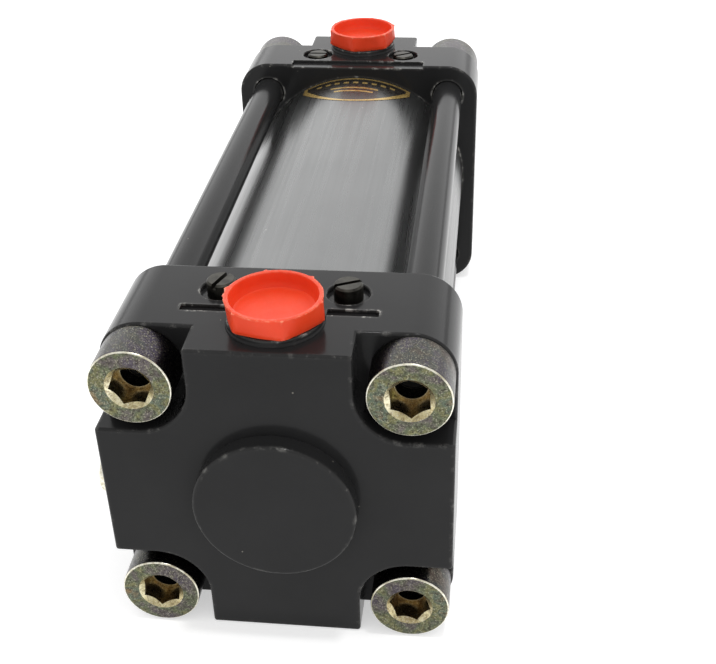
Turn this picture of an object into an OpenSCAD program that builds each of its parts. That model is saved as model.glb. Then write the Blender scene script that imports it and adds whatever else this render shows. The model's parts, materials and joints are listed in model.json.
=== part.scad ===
// Double-acting tie-rod pneumatic cylinder with adjustable cushions at both ends.
// Frame: +Y runs along the cylinder axis from the cap end to the rod end, +Z is up.
// The origin is the centre of the cap head's end face, on the axis, where the cap pilot boss starts.
// The rod is drawn fully retracted. Millimetres.

/* [Cylinder] */
// Bore diameter
bore_d = 63; // [60:0.5:66]
// Working stroke
stroke = 100; // [50:5:200]
// Wall thickness of the tube
tube_wall = 2; // [1.5:0.1:2.5]
// Length of the piston
piston_l = 22; // [22:0.1:30]
// Gap left between the piston and each head at the ends of the stroke
end_gap = 0.6; // [0.4:0.1:1]

/* [Heads] */
// Width and height of both square heads
head_w = 75; // [74:0.5:78]
// Corner radius of the square flanges
head_corner_r = 9.5; // [6:0.5:10]
// Length of the cap head
cap_head_l = 34; // [33:0.5:40]
// Length of the rod head
rod_head_l = 28; // [27.5:0.5:34]
// Depth of the four corner notches that take the tie-rod nuts
notch_depth = 9.2; // [8:0.1:10]
// Clearance between a nut and the wall of its notch
notch_gap = 2.5; // [2:0.1:3]
// Diameter of the round pilot bosses on both end faces
pilot_d = 35; // [34:0.5:38]
// Height of the cap head's pilot boss
cap_pilot_h = 4; // [3:0.5:6]
// Height of the rod head's pilot boss, which houses the gland
rod_pilot_h = 18; // [18:0.5:22]

/* [Tie rods] */
// Side of the square on which the tie rods stand
tie_pitch = 56.5; // [56:0.5:58]
// Tie-rod diameter
tie_rod_d = 9; // [8:0.5:10]
// Outside diameter of a tie-rod nut's head
nut_d = 17.5; // [16:0.5:18]
// Height of a tie-rod nut's head
nut_head_h = 9.9; // [9:0.1:11]
// Width across flats of the nut's hexagon socket
nut_socket_af = 8; // [7:0.5:9]

/* [Air ports] */
// Diameter of the port hole, the minor diameter of a G3/8 thread
port_d = 15; // [14:0.5:16]
// Distance of the cap head's port from its end face
cap_port_y = 12.2; // [12:0.1:14]
// Distance of the rod head's port from its end face
rod_port_y = 10; // [10:0.5:12]
// Diameter of the raised ring round each port
port_boss_d = 20; // [18:0.5:20]
// Height of the raised ring round each port
port_boss_h = 1.5; // [1:0.1:2]
// Width across flats of the hexagon on a port plug
plug_af = 19; // [18:0.5:20]
// Height of a port plug's cup
plug_cup_h = 4.8; // [4.6:0.1:7]

/* [Cushion valves] */
// Distance of both valves from the cylinder axis
valve_x = 13.6; // [13:0.1:14]
// Distance of the valves from the head's tube side
valve_inset = 9.9; // [9.5:0.1:10.5]
// Diameter of the needle and of the check valve's screw plug
valve_d = 6.3; // [6:0.1:6.5]
// How far the cap head's two valve screws stand above the head
cap_valve_proud = 2.5; // [0.8:0.1:3]
// How far the rod head's two valve screws stand above the head
rod_valve_proud = 0.3; // [0:0.1:1]

/* [Piston rod] */
// Piston rod diameter
rod_d = 20; // [18:0.5:20]
// Diameter of the thread on the rod end, M16x1.5
rod_thread_d = 16; // [14:1:16]
// Length of the thread on the rod end
rod_thread_l = 32; // [28:1:36]
// Distance from the rod head's end face to the rod's shoulder, fully retracted
rod_shoulder_y = 37; // [36:1:42]
// Width across the wrench flats near the rod end
rod_flats_af = 17; // [16:0.5:18]

/* [Hidden] */

$fn = 96;
eps = 0.01;
over = 1; // how far a cutting tool runs past the face that it cuts

half_w = head_w / 2;
tie_c = tie_pitch / 2;
bore_r = bore_d / 2;
tube_r = bore_r + tube_wall;

// Both heads share the recess for the tube, the spigot inside it and the cushion chamber.
tube_recess = 5;       // how deep the tube's ends sit in the heads
spigot_proud = 2.4;    // how far the spigots stand into the tube past the heads' inner faces
spigot_gap = 0.1;      // radial gap between a spigot and the bore
tube_gap = 0.1;        // radial gap round the tube in the heads' recesses
tube_seal_w = 3;       // width of the groove for the O-ring that seals the tube
tube_seal_depth = 2.1; // depth of that groove
tube_seal_inset = 2;   // from a head's tube side to the middle of that groove
chamber_d = 30;        // cushion chamber behind the cushion seal
seal_lip_w = 1.5;      // wall that holds the cushion seal at the chamber's mouth
cushion_seal_w = 4.5;  // width of the groove for the cushion seal
cushion_groove_d = 36; // diameter of that groove
cushion_fit = 0.1;     // radial gap between a cushion nose and its seal
mouth_gap = 1.5;       // radial gap between a cushion nose and the chamber's mouth

// Stations along the axis
cap_inner_y = cap_head_l;
rod_inner_y = cap_inner_y + 2 * spigot_proud + 2 * end_gap + piston_l + stroke;
rod_face_y = rod_inner_y + rod_head_l;
piston_y = cap_inner_y + spigot_proud + end_gap;
cap_chamber_y = 8;
rod_chamber_y = rod_face_y - 6;
gland_end_y = rod_face_y + rod_pilot_h;
rod_shoulder = rod_face_y + rod_shoulder_y;

// Air passages and valve drillings, all measured from the axis
port_boss_flare = 0.6; // how much wider the raised ring is at its foot
port_hole_floor_z = 25;
port_passage_d = 8;
valve_recess_d = 9.2;
valve_recess_h = 1.2;
valve_bore_d = valve_d + 0.1;
valve_seat_z = 14;
valve_orifice_d = 3;
valve_orifice_end_z = 3;
feed_d = 3;            // drilling from the bore to a valve
feed_z = 22;

// Cushion noses, one on each side of the piston
spear_d = 22;
spear_l = 18;
sleeve_d = 26;
sleeve_l = 15;

// The rod's stepped inner end carries the spear, the piston and the sleeve
spigot_d = 14;
assembly_gap = 0.05;   // radial gap of parts that slide together on assembly
rod_fit = 0.05;        // radial running gap of the rod in its bush and seals

// Gland stations, counted back from the pilot boss's end
wiper_l = 3;
rod_seal_l = 5;
gland_wall = 0.6;
bush_d = 24;
gland_seal_d = 28;
gland_wiper_d = 30;

nut_proud = nut_head_h - notch_depth;
nut_sleeve_d = 13.5;
nut_sleeve_l = 10;
nut_waist_d = 6.8;      // hole between the nut's socket and the seat of the tie rod
nut_socket_depth = 5.5;
tie_rod_setback = 9.5;  // how far a tie rod's end stays inside its nut's face
tie_hole_gap = 0.3;     // radial gap round a tie rod in the heads
nut_hole_gap = 0.25;    // radial gap round a nut's sleeve in the heads

ball_r = 2.5;
seat_gap = 0.05;
ball_z = valve_seat_z + sqrt(ball_r * ball_r - valve_orifice_d * valve_orifice_d / 4) + seat_gap;

black_paint = [0.045, 0.045, 0.05];
tube_grey = [0.42, 0.43, 0.44];
yellow_zinc = [0.66, 0.60, 0.40];
plug_red = [0.95, 0.20, 0.09];
steel = [0.62, 0.63, 0.65];
chrome = [0.80, 0.81, 0.83];
bronze = [0.67, 0.50, 0.25];
rubber_black = [0.06, 0.06, 0.06];
light_alloy = [0.76, 0.77, 0.79];
guide_brown = [0.45, 0.32, 0.20];

// ---- Helpers ----

// A cylinder along +Y from y, of length l
module y_cylinder(y, l, d) {
    translate([0, y, 0])
        rotate([-90, 0, 0])
            cylinder(d = d, h = l);
}

// A cone frustum along +Y from y, from diameter d1 to d2
module y_cone(y, l, d1, d2) {
    translate([0, y, 0])
        rotate([-90, 0, 0])
            cylinder(d1 = d1, d2 = d2, h = l);
}

// A ring about the Y axis from y, of length l
module y_ring(y, l, outer_d, inner_d) {
    difference() {
        y_cylinder(y, l, outer_d);
        y_cylinder(y - over, l + 2 * over, inner_d);
    }
}

// An O-ring in the plane across Y at y, of mean radius mean_r and section radius section_r
module y_o_ring(y, mean_r, section_r) {
    translate([0, y, 0])
        rotate([-90, 0, 0])
            rotate_extrude()
                translate([mean_r, 0])
                    circle(r = section_r, $fn = 24);
}

// Puts its children at the four corners of the tie-rod square
module at_tie_rods() {
    for (x = [-tie_c, tie_c], z = [-tie_c, tie_c])
        translate([x, 0, z])
            children();
}

// Mirrors a corner feature drawn at +X +Z into the corner with signs sx and sz
module mirror_corner(sx, sz) {
    mirror([sx < 0 ? 1 : 0, 0, 0])
        mirror([0, 0, sz < 0 ? 1 : 0])
            children();
}

// A square with round corners, centred on the axis
module rounded_square(w, r) {
    square([w - 2 * r, w], center = true);
    square([w, w - 2 * r], center = true);
    for (x = [-1, 1], y = [-1, 1])
        translate([x * (w / 2 - r), y * (w / 2 - r)])
            circle(r = r);
}

// The plan of one corner notch, an arc round the nut that runs out to both sides
module notch_plan() {
    notch_r = nut_d / 2 + notch_gap;
    translate([tie_c, tie_c]) {
        circle(r = notch_r);
        translate([-notch_r, 0])
            square([head_w, head_w]);
        translate([0, -notch_r])
            square([head_w, head_w]);
    }
}

// ---- Heads ----

// The outer block of either head: end face at y = 0, tube side at y = l, notches at the end face
module head_block(l) {
    difference() {
        translate([0, l, 0])
            rotate([90, 0, 0])
                linear_extrude(l)
                    rounded_square(head_w, head_corner_r);
        for (sx = [-1, 1], sz = [-1, 1])
            mirror_corner(sx, sz)
                translate([0, notch_depth, 0])
                    rotate([90, 0, 0])
                        linear_extrude(notch_depth + over)
                            notch_plan();
    }
}

// The spigot that centres the tube, standing out of the tube recess, with its O-ring groove
module head_spigot(l) {
    spigot_outer_d = bore_d - 2 * spigot_gap;
    difference() {
        y_cylinder(l - tube_recess - over, tube_recess + over + spigot_proud, spigot_outer_d);
        y_ring(
            l - tube_seal_inset - tube_seal_w / 2,
            tube_seal_w,
            spigot_outer_d + 2 * over,
            spigot_outer_d - 2 * tube_seal_depth
        );
    }
}

// One valve drilling at x: recess, threaded bore, orifice to the chamber and feed from the bore
module valve_drilling(l, x) {
    translate([x, l - valve_inset, 0]) {
        translate([0, 0, half_w - valve_recess_h])
            cylinder(d = valve_recess_d, h = valve_recess_h + over);
        translate([0, 0, valve_seat_z])
            cylinder(d = valve_bore_d, h = half_w);
        translate([0, 0, valve_orifice_end_z])
            cylinder(d = valve_orifice_d, h = half_w / 2);
        translate([0, 0, feed_z])
            rotate([-90, 0, 0])
                cylinder(d = feed_d, h = valve_inset + spigot_proud + over, $fn = 32);
    }
}

// Everything that both heads have, with the end face at y = 0 and the tube side at y = l
module head_common(l, port_y, chamber_y, nose_d) {
    chamber_end = l + spigot_proud;
    difference() {
        union() {
            difference() {
                head_block(l);
                y_cylinder(l - tube_recess, tube_recess + over, 2 * (tube_r + tube_gap));
            }
            head_spigot(l);
            translate([0, port_y, half_w - eps])
                cylinder(d1 = port_boss_d + port_boss_flare, d2 = port_boss_d, h = port_boss_h + eps);
        }
        y_cylinder(chamber_y, chamber_end - chamber_y - seal_lip_w, chamber_d);
        y_cylinder(chamber_end - seal_lip_w - cushion_seal_w, cushion_seal_w, cushion_groove_d);
        y_cylinder(chamber_end - seal_lip_w - over, seal_lip_w + 2 * over, nose_d + 2 * mouth_gap);
        translate([0, port_y, port_hole_floor_z])
            cylinder(d = port_d, h = half_w);
        translate([0, port_y, 0])
            cylinder(d = port_passage_d, h = port_hole_floor_z + over);
        for (x = [-valve_x, valve_x])
            valve_drilling(l, x);
        at_tie_rods() {
            y_cylinder(-over, l + 2 * over, tie_rod_d + 2 * tie_hole_gap);
            y_cylinder(-over, notch_depth + nut_sleeve_l + 2 * over, nut_sleeve_d + 2 * nut_hole_gap);
        }
    }
}

// Cap head with its pilot boss, the long slot across the top and the side hole of the pipe plug
slot_l = 41.6;
slot_w = 2.4;
slot_h = 0.9;
slot_y = 16.3;
side_plug_y = 7.5;
side_plug_z = 0;
side_hole_d = 8.6;
side_hole_depth = 9;
cap_pilot_chamfer = 0.4;

module cap_head() {
    color(black_paint)
        difference() {
            union() {
                head_common(cap_head_l, cap_port_y, cap_chamber_y, spear_d);
                y_cone(-cap_pilot_h, cap_pilot_chamfer, pilot_d - 2 * cap_pilot_chamfer, pilot_d);
                y_cylinder(cap_pilot_chamfer - cap_pilot_h, cap_pilot_h - cap_pilot_chamfer + eps, pilot_d);
            }
            difference() {
                translate([0, slot_y, half_w])
                    cube([slot_l, slot_w, 2 * slot_h], center = true);
                translate([0, cap_port_y, 0])
                    cylinder(d = port_boss_d + port_boss_flare + over, h = head_w);
            }
            translate([-half_w - over, side_plug_y, side_plug_z])
                rotate([0, 90, 0])
                    cylinder(d = side_hole_d, h = side_hole_depth + over);
        }
}

// Rod head: the same head turned round, with a shallow rebate at its tube side and the gland
rebate_l = 41;
rebate_w = 4;
rebate_h = 0.8;
rod_pilot_chamfer = 0.6;

module rod_head() {
    color(black_paint)
        difference() {
            union() {
                translate([0, rod_face_y, 0])
                    mirror([0, 1, 0])
                        head_common(rod_head_l, rod_port_y, rod_face_y - rod_chamber_y, sleeve_d);
                y_cylinder(rod_face_y - eps, rod_pilot_h - rod_pilot_chamfer + eps, pilot_d);
                y_cone(
                    gland_end_y - rod_pilot_chamfer,
                    rod_pilot_chamfer,
                    pilot_d,
                    pilot_d - 2 * rod_pilot_chamfer
                );
            }
            translate([0, rod_inner_y, half_w])
                cube([rebate_l, 2 * rebate_w, 2 * rebate_h], center = true);
            y_cylinder(rod_chamber_y - over, gland_end_y - rod_chamber_y + 2 * over, bush_d);
            y_cylinder(gland_end_y - wiper_l - gland_wall - rod_seal_l, rod_seal_l, gland_seal_d);
            y_cylinder(gland_end_y - wiper_l, wiper_l + over, gland_wiper_d);
        }
}

// ---- Tube and tie rods ----

module cylinder_tube() {
    color(tube_grey)
        y_ring(
            cap_inner_y - tube_recess,
            rod_inner_y - cap_inner_y + 2 * tube_recess,
            2 * tube_r,
            bore_d
        );
}

// A thin film wrapped over the top of the tube beside the rod head
label_angle = 60;
label_l = 19;
label_t = 0.15;
label_gap = 0.5;

module tube_label() {
    color(black_paint)
        translate([0, rod_inner_y - label_gap, 0])
            rotate([90, 0, 0])
                rotate([0, 0, 90 - label_angle / 2])
                    rotate_extrude(angle = label_angle)
                        translate([tube_r, 0])
                            square([label_t, label_l]);
}

// The tie rod at the corner with signs sx and sz
module tie_rod(sx, sz) {
    y = tie_rod_setback - nut_proud;
    l = rod_face_y - 2 * y;
    color(black_paint)
        translate([sx * tie_c, 0, sz * tie_c])
            y_cylinder(y, l, tie_rod_d);
}

// One tie-rod nut, its face at y = 0: socket head, then a sleeve that reaches into the head
module tie_rod_nut() {
    chamfer = 0.5;
    socket_chamfer = 0.9;
    socket_corner_d = nut_socket_af / cos(30);
    seat_relief = 0.3;
    difference() {
        union() {
            y_cone(0, chamfer, nut_d - 2 * chamfer, nut_d);
            y_cylinder(chamfer, nut_head_h - chamfer, nut_d);
            y_cylinder(nut_head_h - eps, nut_sleeve_l + eps, nut_sleeve_d);
        }
        translate([0, nut_socket_depth, 0])
            rotate([90, 30, 0])
                cylinder(d = socket_corner_d, h = nut_socket_depth + over, $fn = 6);
        y_cone(-eps, socket_chamfer, socket_corner_d + socket_chamfer, socket_corner_d - socket_chamfer);
        y_cylinder(nut_socket_depth - over, tie_rod_setback - nut_socket_depth + over, nut_waist_d);
        y_cylinder(tie_rod_setback - seat_relief, nut_head_h + nut_sleeve_l, tie_rod_d + 2 * assembly_gap);
    }
}

module tie_rod_nuts_cap_end() {
    color(yellow_zinc)
        at_tie_rods()
            translate([0, -nut_proud, 0])
                tie_rod_nut();
}

module tie_rod_nuts_rod_end() {
    color(yellow_zinc)
        at_tie_rods()
            translate([0, rod_face_y + nut_proud, 0])
                mirror([0, 1, 0])
                    tie_rod_nut();
}

// An O-ring that seals the tube on a head's spigot, at y
module tube_seal(y) {
    section_r = 1.08;
    wall_gap = 0.02;
    color(rubber_black)
        y_o_ring(y, bore_r - section_r - wall_gap, section_r);
}

// ---- Plugs ----

// A push-in shipping plug for an air port, standing on the port's raised ring at station y
module port_plug(y, turn) {
    shank_l = 10;
    shank_gap = 0.1;
    shank_wall = 1.4;
    shank_top_t = 0.6;
    rim_w = 1.1;
    cup_floor_t = 1.2;
    hex_corner_d = plug_af / cos(30);
    rounded_corner_d = hex_corner_d - 0.4;
    rim_d = plug_af + 1.2;
    rim_h = 1;
    shank_d = port_d - 2 * shank_gap;
    translate([0, y, half_w + port_boss_h])
        color(plug_red)
            difference() {
                union() {
                    intersection() {
                        rotate([0, 0, turn])
                            cylinder(d = hex_corner_d, h = plug_cup_h - rim_h + eps, $fn = 6);
                        cylinder(d = rounded_corner_d, h = plug_cup_h);
                    }
                    translate([0, 0, plug_cup_h - rim_h])
                        cylinder(d = rim_d, h = rim_h);
                    translate([0, 0, -shank_l])
                        cylinder(d = shank_d, h = shank_l + eps);
                }
                translate([0, 0, cup_floor_t])
                    cylinder(d = rim_d - 2 * rim_w, h = plug_cup_h);
                translate([0, 0, -shank_l - over])
                    cylinder(d = shank_d - 2 * shank_wall, h = shank_l + over - shank_top_t);
            }
}

// A plated pipe plug with a hexagon socket in the left side of the cap head
module side_pipe_plug() {
    head_d = 9.7;
    head_h = 2.1;
    chamfer = 0.4;
    socket_af = 5;
    socket_depth = 2.5;
    shank_l = 8;
    color(yellow_zinc)
        translate([-half_w, side_plug_y, side_plug_z])
            rotate([0, -90, 0])
                difference() {
                    union() {
                        cylinder(d = head_d, h = head_h - chamfer);
                        translate([0, 0, head_h - chamfer])
                            cylinder(d1 = head_d, d2 = head_d - 2 * chamfer, h = chamfer);
                        translate([0, 0, -shank_l])
                            cylinder(d = side_hole_d - 2 * assembly_gap, h = shank_l + eps);
                    }
                    translate([0, 0, head_h - socket_depth])
                        cylinder(d = socket_af / cos(30), h = socket_depth + over, $fn = 6);
                }
}

// ---- Cushion valves ----

valve_ring_z = 30;       // height of the O-ring in a valve screw that stands flush
valve_ring_r = 0.95;
valve_ring_gap = 0.1;    // space above and below the O-ring in its groove
valve_groove_d = valve_bore_d - 4 * valve_ring_r;
valve_head_chamfer = 0.4;
driver_slot_w = 1;
driver_slot_depth = 1.1;
needle_shank_z = 26.5;   // lowest point of the needle's full diameter, standing flush
check_plug_z = 26;       // lower end of the check valve's plug, standing flush
needle_seat_gap = 2.1;   // how far a needle's tip is below its seat, standing flush

// Screwdriver slot across the top of a valve screw whose top is at z, turned by angle
module driver_slot(z, angle) {
    translate([0, 0, z])
        rotate([0, 0, angle])
            cube([valve_d + over, driver_slot_w, 2 * driver_slot_depth], center = true);
}

// Upper part that both valve screws share: slotted head and O-ring groove, standing proud by lift
module valve_screw(bottom_z, lift, slot_angle) {
    top_z = half_w + lift;
    groove_w = 2 * (valve_ring_r + valve_ring_gap);
    difference() {
        union() {
            translate([0, 0, bottom_z])
                cylinder(d = valve_d, h = top_z - bottom_z - valve_head_chamfer);
            translate([0, 0, top_z - valve_head_chamfer])
                cylinder(d1 = valve_d, d2 = valve_d - 2 * valve_head_chamfer, h = valve_head_chamfer);
        }
        driver_slot(top_z, slot_angle);
        translate([0, 0, valve_ring_z + lift - groove_w / 2])
            difference() {
                cylinder(d = valve_d + 2 * over, h = groove_w);
                translate([0, 0, -over])
                    cylinder(d = valve_groove_d, h = groove_w + 2 * over);
            }
    }
}

// The adjusting needle of the head whose valves are at station y
module cushion_needle(y, lift, slot_angle) {
    stem_top = needle_shank_z + lift;
    tip_h = 3;
    tip_d = 1.4;
    stem_d = 3.6;
    tip_z = valve_seat_z + lift - needle_seat_gap;
    color(steel)
        translate([valve_x, y, 0]) {
            valve_screw(stem_top, lift, slot_angle);
            translate([0, 0, tip_z + tip_h])
                cylinder(d = stem_d, h = stem_top - tip_z - tip_h + eps);
            translate([0, 0, tip_z])
                cylinder(d1 = tip_d, d2 = stem_d, h = tip_h + eps);
        }
}

// The screw plug that closes the check valve and backs its spring
module check_valve_plug(y, lift, slot_angle) {
    color(steel)
        translate([-valve_x, y, 0])
            valve_screw(check_plug_z + lift, lift, slot_angle);
}

// The O-ring on either valve screw at [x, y]
module valve_o_ring(x, y, lift) {
    wall_gap = 0.03;
    color(rubber_black)
        translate([x, y, valve_ring_z + lift])
            rotate_extrude()
                translate([valve_bore_d / 2 - valve_ring_r, 0])
                    circle(r = valve_ring_r - wall_gap, $fn = 24);
}

// The ball of the check valve at station y, resting on its seat
module check_ball(y) {
    color(steel)
        translate([-valve_x, y, ball_z])
            sphere(r = ball_r, $fn = 48);
}

// A coil spring from the ball up to the screw plug: rings of points swept along a helix
module check_spring(y, lift) {
    wire_r = 0.25;
    coil_r = 1.9;
    turns = 5;
    steps = 16;
    sides = 6;
    end_gap_z = 0.1;
    bottom = ball_z + sqrt(ball_r * ball_r - coil_r * coil_r) + 2 * wire_r + end_gap_z;
    top = check_plug_z + lift - wire_r - end_gap_z;
    count = turns * steps;
    points = [
        for (i = [0:count], j = [0:sides - 1])
            let (
                a = 360 * i / steps,
                b = 360 * j / sides,
                r = coil_r + wire_r * cos(b)
            )
            [r * cos(a), r * sin(a), bottom + (top - bottom) * i / count + wire_r * sin(b)]
    ];
    walls = [
        for (i = [0:count - 1], j = [0:sides - 1])
            let (k = (j + 1) % sides)
            [i * sides + j, i * sides + k, (i + 1) * sides + k, (i + 1) * sides + j]
    ];
    first_cap = [for (j = [0:sides - 1]) sides - 1 - j];
    last_cap = [for (j = [0:sides - 1]) count * sides + j];
    color(steel)
        translate([-valve_x, y, 0])
            polyhedron(points = points, faces = concat(walls, [first_cap, last_cap]));
}

// The cushion seal in the groove that starts at y, for a nose of diameter nose_d
module cushion_seal(y, nose_d) {
    side_gap = 0.2;
    rim_gap = 0.3;
    color(rubber_black)
        y_ring(
            y + side_gap,
            cushion_seal_w - 2 * side_gap,
            cushion_groove_d - 2 * rim_gap,
            nose_d + 2 * cushion_fit
        );
}

// ---- Gland ----

module rod_bush() {
    end_y = gland_end_y - wiper_l - gland_wall - rod_seal_l - gland_wall;
    color(bronze)
        y_ring(rod_chamber_y, end_y - rod_chamber_y, bush_d - 2 * assembly_gap, rod_d + 2 * rod_fit);
}

// A U-shaped lip ring about the Y axis; its open side faces -Y, or +Y when flipped
module lip_ring(y, l, outer_r, inner_r, flipped) {
    lip_share = 0.28;
    cup_share = 0.55;
    mid_r = (outer_r + inner_r) / 2;
    lip = (outer_r - inner_r) * lip_share;
    translate([0, y + (flipped ? l : 0), 0])
        rotate([flipped ? 90 : -90, 0, 0])
            rotate_extrude()
                polygon([
                    [inner_r, 0],
                    [inner_r + lip, 0],
                    [mid_r, l * cup_share],
                    [outer_r - lip, 0],
                    [outer_r, 0],
                    [outer_r, l],
                    [inner_r, l]
                ]);
}

module rod_seal() {
    side_gap = 0.1;
    color(rubber_black)
        lip_ring(
            gland_end_y - wiper_l - gland_wall - rod_seal_l + side_gap,
            rod_seal_l - 2 * side_gap,
            gland_seal_d / 2 - assembly_gap,
            rod_d / 2 + rod_fit,
            false
        );
}

// The wiper: a pressed ring with a lip that reaches out along the rod
module rod_wiper() {
    lip_out = 1.4;
    lip_w = 1;
    rim_w = 2;
    sunk = 0.2;
    inner_r = rod_d / 2 + rod_fit;
    outer_r = gland_wiper_d / 2 - assembly_gap;
    color(rubber_black)
        translate([0, gland_end_y - wiper_l, 0])
            rotate([-90, 0, 0])
                rotate_extrude()
                    polygon([
                        [inner_r, 0],
                        [outer_r, 0],
                        [outer_r, wiper_l - sunk],
                        [outer_r - rim_w, wiper_l - sunk],
                        [inner_r + lip_w, wiper_l + lip_out],
                        [inner_r, wiper_l + lip_out]
                    ]);
}

// ---- Piston and rod ----

piston_seal_w = 5;
piston_seal_inset = 2.5;
piston_seal_floor_r = 26;
guide_w = 5;
guide_floor_r = 29;

module piston() {
    side_gap = 0.3;
    color(light_alloy)
        difference() {
            y_cylinder(piston_y, piston_l, bore_d - 2 * side_gap);
            y_cylinder(piston_y - over, piston_l + 2 * over, spigot_d + 2 * assembly_gap);
            for (y = [piston_y + piston_seal_inset, piston_y + piston_l - piston_seal_inset - piston_seal_w])
                y_ring(y, piston_seal_w, bore_d + 2 * over, 2 * piston_seal_floor_r);
            y_ring(piston_y + (piston_l - guide_w) / 2, guide_w, bore_d + 2 * over, 2 * guide_floor_r);
        }
}

// A piston lip seal in the groove that starts at y, open towards the pressure it holds
module piston_seal(y, flipped) {
    side_gap = 0.15;
    wall_gap = 0.05;
    color(rubber_black)
        lip_ring(
            y + side_gap,
            piston_seal_w - 2 * side_gap,
            bore_r - wall_gap,
            piston_seal_floor_r + wall_gap,
            flipped
        );
}

module piston_guide_ring() {
    wall_gap = 0.05;
    side_gap = 0.15;
    color(guide_brown)
        y_ring(
            piston_y + (piston_l - guide_w) / 2 + side_gap,
            guide_w - 2 * side_gap,
            bore_d - 2 * wall_gap,
            2 * guide_floor_r + 2 * wall_gap
        );
}

// The rod's inner end screws into the cushion spear, which is also the piston's nut
spear_stud_d = spigot_d - 2;
spear_wall_l = 5; // solid tip of the spear
stud_tip_gap = 1; // space left between the stud's end and that tip

module cushion_spear() {
    nose = 3;
    nose_w = 1.5;
    color(steel)
        difference() {
            union() {
                y_cone(piston_y - spear_l, nose, spear_d - 2 * nose_w, spear_d);
                y_cylinder(piston_y - spear_l + nose, spear_l - nose, spear_d);
            }
            y_cylinder(piston_y - spear_l + spear_wall_l, spear_l, spear_stud_d + 2 * assembly_gap);
        }
}

// The cushion sleeve on the rod side, clamped between the piston and the rod's shoulder
module cushion_sleeve() {
    nose = 2.5;
    nose_w = 1.25;
    y = piston_y + piston_l;
    color(steel)
        difference() {
            union() {
                y_cylinder(y, sleeve_l - nose, sleeve_d);
                y_cone(y + sleeve_l - nose, nose, sleeve_d, sleeve_d - 2 * nose_w);
            }
            y_cylinder(y - over, sleeve_l + 2 * over, spigot_d + 2 * assembly_gap);
        }
}

// The static O-ring between the piston and the rod
piston_ring_r = 0.9;
piston_ring_y = piston_y + piston_l / 2;

module piston_o_ring() {
    wall_gap = 0.02;
    mean_r = spigot_d / 2 + assembly_gap - piston_ring_r - wall_gap;
    color(rubber_black)
        y_o_ring(piston_ring_y, mean_r, piston_ring_r);
}

// Sizes that the rod's threaded end and its lock nut share
rod_nut_h = 8;
rod_nut_af = 24;
rod_nut_gap = 0.4;      // how far the nut stays off the rod's shoulder
nut_thread_pitch_d = 15; // pitch diameter of the thread, where the nut meets the rod

// The rod: stepped inner end, ground shank, wrench flats, shoulder and threaded end
module piston_rod() {
    step_y = piston_y + piston_l + sleeve_l;
    stud_y = piston_y - spear_l + spear_wall_l + stud_tip_gap;
    nut_zone_l = rod_nut_h + 2 * rod_nut_gap;
    end_y = rod_shoulder + rod_thread_l;
    end_chamfer = 1.5;
    shoulder_chamfer = 1;
    ring_groove_w = 2 * piston_ring_r + 0.2;
    flat_l = 10;
    flat_inset = 2;
    color(chrome)
        difference() {
            union() {
                y_cylinder(stud_y, piston_y - stud_y + eps, spear_stud_d);
                y_cylinder(piston_y, step_y - piston_y + eps, spigot_d);
                y_cylinder(step_y, rod_shoulder - step_y - shoulder_chamfer, rod_d);
                y_cone(
                    rod_shoulder - shoulder_chamfer - eps,
                    shoulder_chamfer + eps,
                    rod_d,
                    rod_d - 2 * shoulder_chamfer
                );
                y_cylinder(rod_shoulder - eps, nut_zone_l + eps, nut_thread_pitch_d);
                y_cylinder(
                    rod_shoulder + nut_zone_l - eps,
                    rod_thread_l - nut_zone_l - end_chamfer + eps,
                    rod_thread_d
                );
                y_cone(
                    end_y - end_chamfer - eps,
                    end_chamfer + eps,
                    rod_thread_d,
                    rod_thread_d - 2 * end_chamfer
                );
            }
            for (side = [-1, 1])
                translate([side * (rod_flats_af + rod_d) / 2, rod_shoulder - flat_inset - flat_l / 2, 0])
                    cube([rod_d, flat_l, rod_d + 2 * over], center = true);
            y_ring(
                piston_ring_y - ring_groove_w / 2,
                ring_groove_w,
                spigot_d + 2 * over,
                spigot_d - 4 * piston_ring_r
            );
        }
}

// The hexagon lock nut against the rod's shoulder, with both faces chamfered
module rod_end_nut() {
    corner_d = rod_nut_af / cos(30);
    nut_y = rod_shoulder + rod_nut_gap;
    chamfer = 1;
    color(yellow_zinc)
        difference() {
            intersection() {
                translate([0, nut_y, 0])
                    rotate([-90, 0, 0])
                        cylinder(d = corner_d, h = rod_nut_h, $fn = 6);
                union() {
                    y_cone(nut_y, chamfer, rod_nut_af, corner_d);
                    y_cylinder(nut_y + chamfer, rod_nut_h - 2 * chamfer, corner_d);
                    y_cone(nut_y + rod_nut_h - chamfer, chamfer, corner_d, rod_nut_af);
                }
            }
            y_cylinder(rod_shoulder - over, rod_nut_h + 2 * over, nut_thread_pitch_d + 2 * assembly_gap);
        }
}

// ---- The assembly ----

cap_valve_y = cap_inner_y - valve_inset;
rod_valve_y = rod_inner_y + valve_inset;
cap_port_station = cap_port_y;
rod_port_station = rod_face_y - rod_port_y;
cap_plug_turn = 48.5;
rod_plug_turn = 18;
cushion_groove_inset = spigot_proud - seal_lip_w - cushion_seal_w;

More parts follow.
